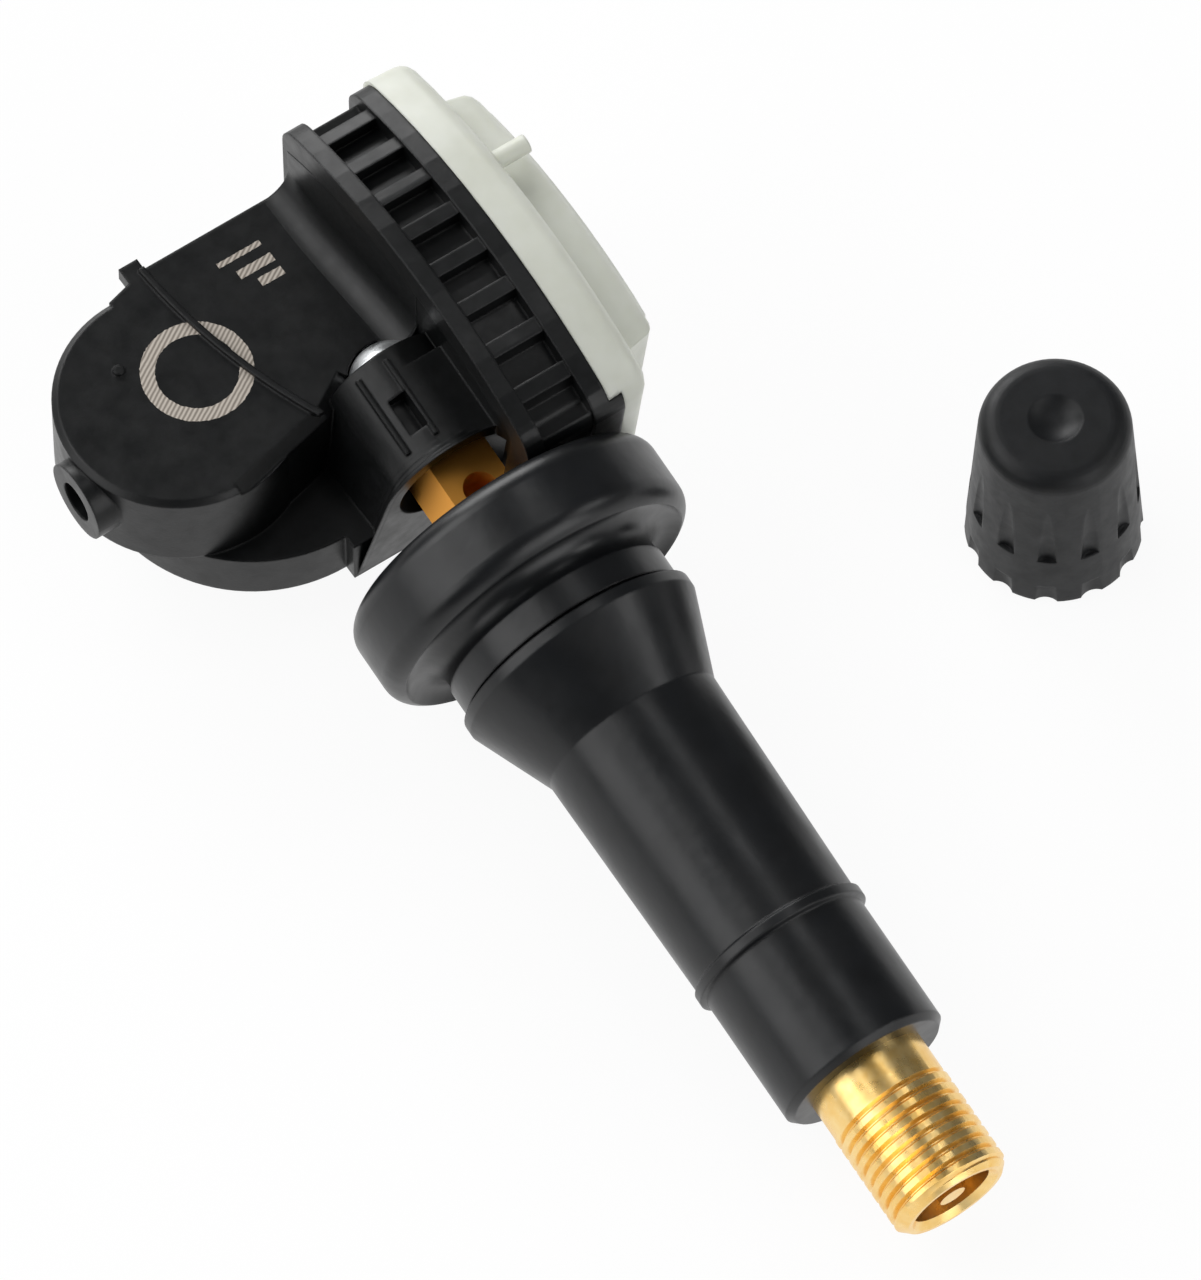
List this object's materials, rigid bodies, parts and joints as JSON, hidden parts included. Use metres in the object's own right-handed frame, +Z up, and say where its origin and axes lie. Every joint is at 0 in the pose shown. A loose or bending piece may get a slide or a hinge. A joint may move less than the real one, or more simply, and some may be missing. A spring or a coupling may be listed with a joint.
{
  "type": "tyre pressure sensor",
  "caption": "Snap-in tyre pressure sensor: rubber valve stem with a brass insert, ribbed housing with a potted cover, and its dust cap standing beside it.",
  "frame": {"origin": "middle of the part's outline, cap included, on the surface it lies on", "axes": "+X is where the stem points, seen from above; +Y runs from the round nose to the potted cover; +Z up"},
  "size_m": [0.0754, 0.0558, 0.023],
  "materials": {
    "nylon": "moulded glass-filled nylon, fine texture",
    "potting": "milky translucent, satin",
    "board": "solder mask",
    "chip": "moulded package",
    "silicone": "soft silicone",
    "steel": "zinc plated",
    "ceramic": "sintered",
    "ferrite": "sintered",
    "copper": "enamelled wire",
    "brass": "turned, bright",
    "rubber": "moulded, slightly glossy",
    "cap_plastic": "moulded, satin",
    "washer": "soft"
  },
  "bodies": {
    "sensor": {"housing": "nylon", "potted_cover": "potting", "circuit_board": "board", "pressure_sensor": "chip", "port_gasket": "silicone", "controller_chip": "chip", "crystal": "steel", "capacitors": "ceramic", "coil_core": "ferrite", "coil_winding": "copper", "rf_antenna": "brass", "coin_cell": "steel", "cell_tab_plus": "steel", "cell_tab_minus": "steel", "fixing_screw": "steel", "brass_stem": "brass", "rubber_stem": "rubber", "core_plug": "brass", "core_barrel": "brass", "core_gasket": "silicone", "core_spring": "steel", "valve_cap": "cap_plastic", "cap_seal": "washer"},
    "pin": {"valve_pin": "brass", "pin_seal": "silicone"}
  },
  "joints": [
    {"name": "valve_pin_press", "type": "slide", "parent": "sensor", "child": "pin", "axis": [-0.9889, 0, 0.1484], "range_m": [0, 0.0013], "stiffness_N_per_m": 800, "springref_m": -0.0025, "deforming": ["core_spring"]}
  ]
}
